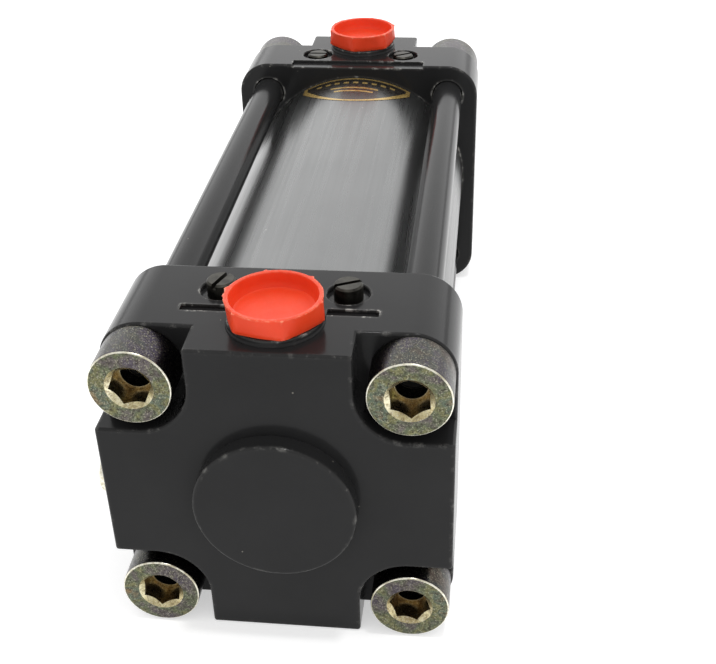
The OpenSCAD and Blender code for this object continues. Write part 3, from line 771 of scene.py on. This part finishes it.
def build_head(name, length, port_y, valve_y, chamber_y, nose_r, pilot):
    """A head with its end face at y = 0, its tube side at length and its round boss at negative y."""
    obj = head_block(length)
    obj.name = name
    cut(obj, moved(bar(tube_r + 0.1, -tube_recess, 1, 128), at(0, length, 0) @ ALONG_Y))
    unite(obj, spigot(length))
    unite(obj, moved(lathe(pilot, 128), ALONG_Y @ Matrix.Diagonal((1, 1, -1, 1))))
    unite(obj, moved(port_ring(), at(0, port_y, half_w)))
    cut(obj, head_cavity(length, chamber_y, nose_r))
    port_hole = flared_hole(port_hole_r, port_floor_z, half_w + port_boss_h, 0.3)
    cut(obj, moved(port_hole, at(0, port_y, 0)))
    for x in (-valve_x, valve_x):
        recess = flared_hole(valve_recess_r, half_w - valve_recess_h, half_w, 0.2)
        valve_bore = flared_hole(valve_bore_r, valve_seat_z, half_w, 0.0)
        for tool in (recess, valve_bore):
            cut(obj, moved(tool, at(x, valve_y, 0)))
    nut_hole_l = notch_depth + nut_sleeve_l + 1
    for mirror in corner_mirrors():
        for radius, depth in ((tie_hole_r, length + 1), (nut_hole_r, nut_hole_l)):
            hole = moved(bar(radius, -1, depth, 48), at(tie_c, 0, tie_c) @ ALONG_Y)
            cut(obj, moved(hole, mirror))
    return obj


def top_slot():
    """The long slot across the cap head's top, which stops short of the port ring, as two cutters."""
    slot_y, half_l, half_s, depth = 16.3, 20.8, 1.2, 0.9
    stop = math.sqrt((port_boss_r + 0.8) ** 2 - (slot_y - cap_port_y) ** 2)
    tools = []
    for side in (-1, 1):
        low_x, high_x = sorted((side * stop, side * half_l))
        low, high = (low_x, slot_y - half_s, half_w - depth), (high_x, slot_y + half_s, half_w + 1)
        tools.append(box_mesh(low, high))
    return tools


def make_cap_head():
    pilot = pilot_boss(-cap_low.y, 0.8)
    obj = build_head(
        "cap_head_painted", cap_inner_y, cap_port_y, cap_valve_y, chamber_y=8, nose_r=11, pilot=pilot
    )
    for tool in top_slot():
        cut(obj, tool)
    return place(obj, BODY, "black_paint", enamel, "cap_head")


def gland_bore(height):
    """The rod's way out, from the gland's end inward: wiper seat, lip, rod seal seat and bush seat."""
    wiper_r, wiper_end = 15, 3 - height
    lip_r, lip_end = 11.4, 3.6 - height
    seal_r, seal_end = 14, 8.6 - height
    bush_r, bush_end = 12, 7
    profile = [
        (0, -height - 1), (wiper_r, -height - 1), (wiper_r, wiper_end), (lip_r, wiper_end),
        (lip_r, lip_end), (seal_r, lip_end), (seal_r, seal_end), (bush_r, seal_end),
        (bush_r, bush_end), (0, bush_end),
    ]
    return moved(lathe(profile, 96), ALONG_Y)


def make_rod_head():
    """The rod head, made with its end face at y = 0 like the cap head and then mirrored into place."""
    length = rod_face_y - rod_inner_y
    height = rod_high.y - rod_face_y
    port_y, valve_y = rod_face_y - rod_port_y, rod_face_y - rod_valve_y
    rebate_half_l, rebate_w, rebate_depth = 20.5, 4, 0.8
    rebate_low = (-rebate_half_l, length - rebate_w, half_w - rebate_depth)
    rebate_high = (rebate_half_l, length + 1, half_w + 1)
    pilot = pilot_boss(height, 1.0)
    obj = build_head("rod_head_painted", length, port_y, valve_y, chamber_y=6, nose_r=13, pilot=pilot)
    cut(obj, gland_bore(height))
    cut(obj, box_mesh(rebate_low, rebate_high))
    obj.data.transform(Matrix.Translation((0, rod_face_y, 0)) @ Matrix.Diagonal((1, -1, 1, 1)))
    obj.data.flip_normals()
    return place(obj, BODY, "black_paint", enamel, "rod_head")


# ---- Nuts and plugs ----

def hexagon(across_flats, turn=0):
    """Corners of a hexagon, the first one turned that many degrees from X."""
    r = across_flats / 2 / math.cos(math.radians(30))
    angles = [math.radians(60 * i + turn) for i in range(6)]
    return [(r * math.cos(a), r * math.sin(a)) for a in angles]


def socket_nut():
    """A tie-rod nut about Z: its face at z = 0 looks down -Z, its head and sleeve stand on +Z."""
    sleeve_r, sleeve_end = 6.75, nut_head_l + nut_sleeve_l
    hole_r, seat_z, rod_hole_r = 3.4, 9.2, 4.55
    socket_across, mouth_floor_r = 8, 3.6
    profile = [
        (hole_r, 0), (nut_r, 0), (nut_r, nut_head_l), (sleeve_r, nut_head_l), (sleeve_r, sleeve_end),
        (rod_hole_r, sleeve_end), (rod_hole_r, seat_z), (hole_r, seat_z),
    ]
    obj = to_object("nut", lathe(rounded(profile, [0.55, 0.3, 0.2, 0.3, 0, 0], 4), 96))
    cut(obj, prism(hexagon(socket_across, 30), -1, socket_depth))
    mouth = [
        (0, -0.5), (socket_mouth_r + 0.7, -0.5), (socket_mouth_r + 0.1, 0),
        (mouth_floor_r, socket_mouth_l), (0, socket_mouth_l),
    ]
    cut(obj, lathe(mouth, 64))
    return obj


def nut_zone(face, face_y):
    """Which part of a nut a face belongs to, from its depth and its distance from the nut's axis."""
    reach = math.hypot(abs(face.center.x) / MM - tie_c, abs(face.center.z) / MM - tie_c)
    depth = abs(face.center.y / MM - face_y)
    slanted = 0.2 < abs(face.normal.y) < 0.97
    if depth < socket_depth + 0.5 and reach < socket_mouth_r:
        return "mouth" if depth < socket_mouth_l and slanted else "socket"
    if depth < 1 and reach > nut_r - 0.6 and slanted:
        return "rim"
    return "outside"


def make_tie_rod_nuts(end, face_y, outward):
    """The four nuts at one end. outward is -1 at the cap end and 1 at the rod end."""
    nut = socket_nut()
    bm = bmesh.new()
    for index, mirror in enumerate(corner_mirrors()):
        stopped_at = math.radians(17 * index + 5)
        turned = Matrix.Rotation(stopped_at, 4, "Z")
        facing = at(0, face_y, 0) @ Matrix.Diagonal((1, -outward, 1, 1)) @ ALONG_Y
        corner = at(mirror[0][0] * tie_c, 0, mirror[2][2] * tie_c)
        one = bmesh.new()
        one.from_mesh(nut.data)
        merge(bm, moved(one, corner @ facing @ turned))
    bpy.data.objects.remove(nut)
    node = f"tie_rod_nuts_{end}_end"
    obj = place(to_object(f"{node}_plated", bm), BODY, "yellow_zinc", zinc, node)
    zones = ["outside", "rim", "mouth", "socket"]
    # The rims, the sockets' chamfers and their insides take finishes with painted highlights and painted
    # light
    for finish in (painted_highlight_zinc, mouth_painted_highlight_zinc, socket_painted_light_zinc):
        obj.data.materials.append(finish)
    for face in obj.data.polygons:
        face.material_index = zones.index(nut_zone(face, face_y))
    return obj


def make_side_plug():
    """The plated pipe plug in the left side of the cap head."""
    low, high = node_box("side_pipe_plug")
    centre = (low + high) / 2
    head_r, head_h = (high.z - low.z) / 2, -half_w - low.x
    shank_r, shank_l = 4.2, high.x + half_w
    key_across, key_depth = 5, 2.5
    profile = [
        (0, -shank_l), (shank_r, -shank_l), (shank_r, 0),
        (head_r, 0), (head_r, head_h), (0, head_h),
    ]
    obj = to_object("side_pipe_plug_plated", lathe(rounded(profile, [0.4, 0, 0.2, 0.7], 4), 72))
    mouth = [(0, head_h - 0.4), (2.6, head_h - 0.4), (3.4, head_h + 0.4), (0, head_h + 0.4)]
    cut(obj, prism(hexagon(key_across, 12), head_h - key_depth, head_h + 1))
    cut(obj, lathe(mouth, 48))
    obj.data.transform(at(-half_w, centre.y, centre.z) @ ALONG_MINUS_X)
    # The whole plug takes the near-white zinc: painted light
    return place(obj, BODY, "yellow_zinc", painted_highlight_zinc, "side_pipe_plug")


def plug_cup(turn):
    """A push-in port plug about Z, standing on z = 0: a cup, hexagonal outside and round at its rim."""
    steps = 180
    flat_r, corner_r_plug, rim_r, floor_z = 9.5, 10.5, 10.1, 1.2
    height = plug_cup_h - 0.05

    def from_corner(angle):
        """The angle to the nearest corner of the hexagon."""
        return (angle - math.radians(turn) + math.pi / 6) % (math.pi / 3) - math.pi / 6

    def hexagonal(angle):
        """Distance to a hexagon with soft corners and bulged flats."""
        corner = abs(from_corner(angle))
        flat = flat_r / math.cos(math.pi / 6 - corner)
        bulge = 0.25 * math.cos(3 * (math.pi / 6 - corner)) ** 2
        return min(flat + bulge, corner_r_plug)

    def rib(angle):
        """The moulding flash that stands out along each corner."""
        return math.exp(-((from_corner(angle) / 0.045) ** 2))

    def outside(share, shrink, ribs):
        """A row between the hexagon, share 0, and the round rim, share 1."""
        return lambda a: (1 - share) * hexagonal(a) + share * rim_r - shrink + ribs * rib(a)

    def inside(r):
        return lambda a: r

    shank_r, shank_end = 6.0, -10.0
    shank = [
        (inside(shank_r), -0.6),
        (inside(shank_r), shank_end),
        (inside(7.1), shank_end),
        (inside(7.4), shank_end + 0.5),
        (inside(7.4), 0.0),
    ]
    cup = [
        (outside(0, 0.7, 0.1), 0.0),
        (outside(0, 0.25, 0.15), 0.12),
        (outside(0, 0.05, 0.25), 0.45),
        (outside(0, 0, 0.12), 1.2),
        (outside(0.2, 0, 0.12), 2.2),
        (outside(0.55, 0, 0.2), 3.3),
        (outside(0.9, 0, 0.35), height - 0.5),
        (outside(1, 0, 0.5), height - 0.15),
        (outside(1, 0.22, 0.3), height),
        (inside(rim_r - 0.55), height),
        (inside(rim_r - 0.85), height - 0.1),
        (inside(rim_r - 1.0), height - 0.4),
        (inside(rim_r - 1.15), 2.9),
        (inside(rim_r - 1.4), floor_z + 0.8),
        (inside(rim_r - 1.65), floor_z + 0.25),
        (inside(rim_r - 2.3), floor_z),
        (inside(4.0), floor_z - 0.05),
        (inside(1.5), floor_z),
        (inside(0.6), floor_z + 0.12),
    ]
    bm = bmesh.new()
    turns = [2 * math.pi * i / steps for i in range(steps)]
    rings = [
        [bm.verts.new((radius(a) * math.cos(a), radius(a) * math.sin(a), z)) for a in turns]
        for radius, z in shank + cup
    ]
    for one, two in zip(rings, rings[1:]):
        for i in range(steps):
            k = (i + 1) % steps
            bm.faces.new((one[i], one[k], two[k], two[i]))
    for ring, z in ((rings[0], -0.6), (rings[-1], floor_z + 0.15)):
        middle = bm.verts.new((0, 0, z))
        for i in range(steps):
            bm.faces.new((ring[i], ring[(i + 1) % steps], middle))
    bmesh.ops.recalc_face_normals(bm, faces=bm.faces)
    return bm


def rim_flash(bm, turn):
    """Makes the rim a little uneven, and ragged beside the mould's gate."""
    chance = random.Random(7)
    gate_angle, gate_reach = 131, 14
    rim_low, rim_inner_r, rim_r = plug_cup_h - 0.4, 9.3, 10
    for vert in bm.verts:
        on_rim = vert.co.z > rim_low and math.hypot(vert.co.x, vert.co.y) > rim_inner_r
        if not on_rim:
            continue
        angle = math.degrees(math.atan2(vert.co.y, vert.co.x)) - turn
        from_gate = (angle - gate_angle + 180) % 360 - 180
        near_gate = math.exp(-((from_gate / gate_reach) ** 2))
        swell = chance.uniform(-0.03, 0.05) + near_gate * chance.uniform(0.0, 0.35)
        vert.co.x *= 1 + swell / rim_r
        vert.co.y *= 1 + swell / rim_r
    return bm


def make_port_plug(end, y, turn):
    """One port plug, screwed in so that a corner of its hexagon points turn degrees from X."""
    node = f"port_plug_{end}_end"
    obj = to_object(f"{node}_moulded", rim_flash(plug_cup(turn), turn))
    obj.data.transform(at(0, y, half_w + port_boss_h))
    return place(obj, BODY, "plug_plastic", plug_plastic, node)


# ---- Label ----

# Lowest and highest surface above the tube of the film and of the gold printed on it
FILM_LIFTS = (0.01, 0.06)
PRINT_LIFTS = (0.05, 0.09)


def wrapped(x, y, lift):
    """A point of the flat label laid on the tube: x runs round it from the top, y along it."""
    r = tube_r + lift
    a = x / tube_r
    return (r * math.sin(a), y, r * math.cos(a))


def label_band(outer, inner, lifts):
    """A closed raised band between two outlines with the same number of points."""
    low, high = lifts
    bm = bmesh.new()
    rings = [
        [bm.verts.new(wrapped(x, y, lift)) for x, y in outline]
        for outline, lift in ((outer, low), (outer, high), (inner, high), (inner, low))
    ]
    count = len(outer)
    for one, two in zip(rings, rings[1:] + rings[:1]):
        for i in range(count):
            k = (i + 1) % count
            bm.faces.new((one[i], one[k], two[k], two[i]))
    bmesh.ops.recalc_face_normals(bm, faces=bm.faces)
    return bm


def bent_plate(near_side, far_side, lifts):
    """A thin plate on the tube between two rows with the same number of points."""
    bm = bmesh.new()
    layers = [
        [[bm.verts.new(wrapped(x, y, lift)) for x, y in side] for side in (near_side, far_side)]
        for lift in lifts
    ]
    (a0, a1), (b0, b1) = layers
    last = len(near_side) - 1
    for i in range(last):
        bm.faces.new((a0[i], a0[i + 1], a1[i + 1], a1[i]))
        bm.faces.new((b0[i + 1], b0[i], b1[i], b1[i + 1]))
        bm.faces.new((a0[i + 1], a0[i], b0[i], b0[i + 1]))
        bm.faces.new((a1[i], a1[i + 1], b1[i + 1], b1[i]))
    for i in (0, last):
        bm.faces.new((a0[i], a1[i], b1[i], b0[i]))
    bmesh.ops.recalc_face_normals(bm, faces=bm.faces)
    return bm


def label_bar(middle_x, half_x, middle_y, half_y, columns=40):
    """A printed gold bar that runs round the tube."""
    xs = [middle_x + half_x * (2 * i / columns - 1) for i in range(columns + 1)]
    near_side, far_side = ([(x, middle_y + side * half_y) for x in xs] for side in (-1, 1))
    return bent_plate(near_side, far_side, PRINT_LIFTS)


def bowed_outline(half_x, tip_y, low_y, high_y, inset, steps=32):
    """The label's outline: straight at high_y, and bowed from its tips at tip_y down to low_y."""
    half_x, low_y, high_y, tip_y = half_x - 1.5 * inset, low_y + inset, high_y - inset, tip_y + inset
    across = [2 * i / steps - 1 for i in range(steps + 1)]
    far_side = [(half_x * u, high_y) for u in reversed(across)]
    near_side = [(half_x * u, tip_y - (tip_y - low_y) * (1 - u * u)) for u in across]
    return far_side + near_side


def make_label():
    """A plain black label with a gold border, two gold bars and a row of gold dashes."""
    low_y, high_y = label_low.y, label_high.y
    half_x = math.asin(label_high.x / (tube_r + 0.15)) * tube_r
    size = (half_x, high_y - 4, low_y, high_y)
    edge = bowed_outline(*size, 0)
    half = len(edge) // 2
    film_bm = bent_plate(edge[half:], list(reversed(edge[:half])), FILM_LIFTS)
    place(to_object("label_film", film_bm), BODY, "label_film", label_black, "tube_label")
    gold = label_band(bowed_outline(*size, 0.1), bowed_outline(*size, 1.0), PRINT_LIFTS)
    for from_top, reach in ((8.0, 0.42), (10.6, 0.34)):
        merge(gold, label_bar(0, half_x * reach, high_y - from_top, 0.5))
    for i in range(-4, 5):
        merge(gold, label_bar(2.9 * i, 0.8, high_y - 3.8, 0.6, 6))
    place(to_object("label_gold_print", gold), BODY, "label_film", label_gold)


# ---- Rod ----

def thread_mesh(low, high, major_r, minor_r, pitch):
    """A threaded length about Z with a chamfered free end, as one closed surface."""
    columns, rows_per_turn, chamfer = 72, 10, 1.4
    rows = int((high - low) / pitch * rows_per_turn)
    bm = bmesh.new()
    rings = []
    for j in range(rows + 1):
        z = low + (high - low) * j / rows
        ring = []
        for i in range(columns):
            a = 2 * math.pi * i / columns
            phase = (z / pitch - i / columns) % 1
            crest = 1 - abs(2 * phase - 1)
            crest = min(max((crest - 0.1) / 0.8, 0), 1)
            r = minor_r + (major_r - minor_r) * crest
            r = min(r, major_r - chamfer + (high - z), minor_r + max(0, z - low))
            ring.append(bm.verts.new((r * math.cos(a), r * math.sin(a), z)))
        rings.append(ring)
    for one, two in zip(rings, rings[1:]):
        for i in range(columns):
            k = (i + 1) % columns
            bm.faces.new((one[i], one[k], two[k], two[i]))
    bm.faces.new(list(reversed(rings[0])))
    bm.faces.new(rings[-1])
    return bm


def make_piston_rod():
    """The chromed rod with its stepped inner end, wrench flats and threaded end."""
    shoulder = node_box("rod_end_nut")[0].y - 0.4
    step = node_box("cushion_sleeve")[1].y
    piston_front = node_box("piston")[0].y
    stud_r, journal_r = 6, 7
    profile = [
        (0, rod_low_y), (stud_r, rod_low_y), (stud_r, piston_front), (journal_r, piston_front),
        (journal_r, step), (rod_r, step), (rod_r, shoulder), (0, shoulder),
    ]
    obj = to_object("piston_rod_ground", lathe(rounded(profile, [0.8, 0, 0.5, 0, 0.6, 1.2], 4), 128))
    flat_x, flat_low, flat_high, clear = 8.5, shoulder - 12, shoulder - 2, rod_r + 2
    for side in (-1, 1):
        low_x, high_x = sorted((side * flat_x, side * clear))
        cut(obj, box_mesh((low_x, -clear, flat_low), (high_x, clear, flat_high)))
    bm = bmesh.new()
    bm.from_mesh(obj.data)
    merge(bm, thread_mesh(shoulder - 0.3, rod_end_y, major_r=8.0, minor_r=7.08, pitch=1.5))
    bm.transform(ALONG_Y)
    bm.to_mesh(obj.data)
    bm.free()
    return place(obj, "rod_and_piston", "rod_chrome", chrome, "piston_rod")


def make_rod_end_nut():
    """The hexagon lock nut, chamfered on both faces and countersunk."""
    low, high = node_box("rod_end_nut")
    height, across = high.y - low.y, high.z - low.z
    point_r = across / 2 / math.cos(math.radians(30))
    face_r, chamfer = across / 2 - 0.4, 1.05
    bm = round_edges(prism(hexagon(across), 0, height), 0.25, 2, 50)
    obj = to_object("rod_end_nut_plated", bm)
    cone = [
        (0, 0), (face_r, 0), (point_r, chamfer),
        (point_r, height - chamfer), (face_r, height), (0, height),
    ]
    combine(obj, lathe(rounded(cone, 0.15, 2), 128), "INTERSECT")
    hole_r, sink = 7.6, 0.9
    sink_r = hole_r + 1 + sink
    bore = [
        (0, -1), (sink_r, -1), (hole_r, sink),
        (hole_r, height - sink), (sink_r, height + 1), (0, height + 1),
    ]
    cut(obj, lathe(bore, 96))
    obj.data.transform(at(0, low.y, 0) @ ALONG_Y)
    return place(obj, "rod_and_piston", "yellow_zinc", zinc, "rod_end_nut")


# ---- Stage ----

def make_floor():
    """A pale floor under the heads, bright enough to come out white in the photo's view."""
    mesh = bpy.data.meshes.new("floor")
    reach = 4
    floor_z = min(cap_low.z, rod_low.z) * MM
    corners = [(sx * reach, sy * reach, floor_z) for sx, sy in ((-1, -1), (1, -1), (1, 1), (-1, 1))]
    mesh.from_pydata(corners, [], [(0, 1, 2, 3)])
    floor = bpy.data.objects.new("floor", mesh)
    bpy.context.scene.collection.objects.link(floor)
    s = Shader("pale_floor")
    s.feed("Base Color", s.tones(s.noise(6, 3), (0.74, 0.74, 0.74), (0.76, 0.76, 0.76)))
    s.set(Roughness=0.9, Specular_IOR_Level=0.1, Emission_Color=(1.0, 1.0, 1.0), Emission_Strength=0.5)
    floor.data.materials.append(s.material)


def make_area(name, shape, location, target, size, power):
    """A lamp that faces its target. size is its width and its height, in metres."""
    light = bpy.data.lights.new(name, "AREA")
    light.shape = shape
    light.size, light.size_y = size
    light.energy = power
    obj = bpy.data.objects.new(name, light)
    obj.location = location
    obj.rotation_euler = (Vector(target) - Vector(location)).to_track_quat("-Z", "Y").to_euler()
    bpy.context.scene.collection.objects.link(obj)


def make_lights():
    """A white studio, a large softbox behind the rod end and a small key lamp above."""
    target = (0, 0.1, 0)
    world = bpy.data.worlds.new("studio")
    bpy.context.scene.world = world
    world.use_nodes = True
    background = world.node_tree.nodes["Background"]
    background.inputs["Color"].default_value = (1.0, 1.0, 1.0, 1)
    background.inputs["Strength"].default_value = 0.82
    make_area("back_softbox", "RECTANGLE", (0.0, 1.8, 1.15), target, size=(3.8, 2.0), power=24)
    make_area("key", "DISK", (0.15, -0.02, 1.0), target, size=(0.10, 0.10), power=2.6)


def make_camera():
    """Stands before the cap end, above it and a little to the right, as fitted to the photo."""
    eye = Vector((41.55, -183.77, 162.14)) * MM
    yaw, pitch, roll = 0.1254, -0.5699, -0.0286
    level = math.cos(pitch)
    forward = Vector((-math.sin(yaw) * level, math.cos(yaw) * level, math.sin(pitch)))
    right = Vector((math.cos(yaw), math.sin(yaw), 0))
    up = right.cross(forward)
    side = right * math.cos(roll) + up * math.sin(roll)
    top = up * math.cos(roll) - right * math.sin(roll)
    data = bpy.data.cameras.new("camera")
    data.lens = 58.22
    data.sensor_width = 36
    data.clip_start = 0.01
    camera = bpy.data.objects.new("camera", data)
    turn = Matrix((side, top, -forward)).transposed().to_4x4()
    camera.matrix_world = Matrix.Translation(eye) @ turn
    bpy.context.scene.collection.objects.link(camera)
    bpy.context.scene.camera = camera


dress_cad_nodes()
make_cap_head()
make_rod_head()
make_tie_rod_nuts("cap", nut_face_y, outward=-1)
make_tie_rod_nuts("rod", rod_face_y - nut_face_y, outward=1)
make_side_plug()
make_port_plug("cap", cap_port_y, turn=48.5)
make_port_plug("rod", rod_port_y, turn=18)
make_label()
make_piston_rod()
make_rod_end_nut()
make_floor()
make_lights()
make_camera()
bpy.context.scene.view_settings.view_transform = "Standard"
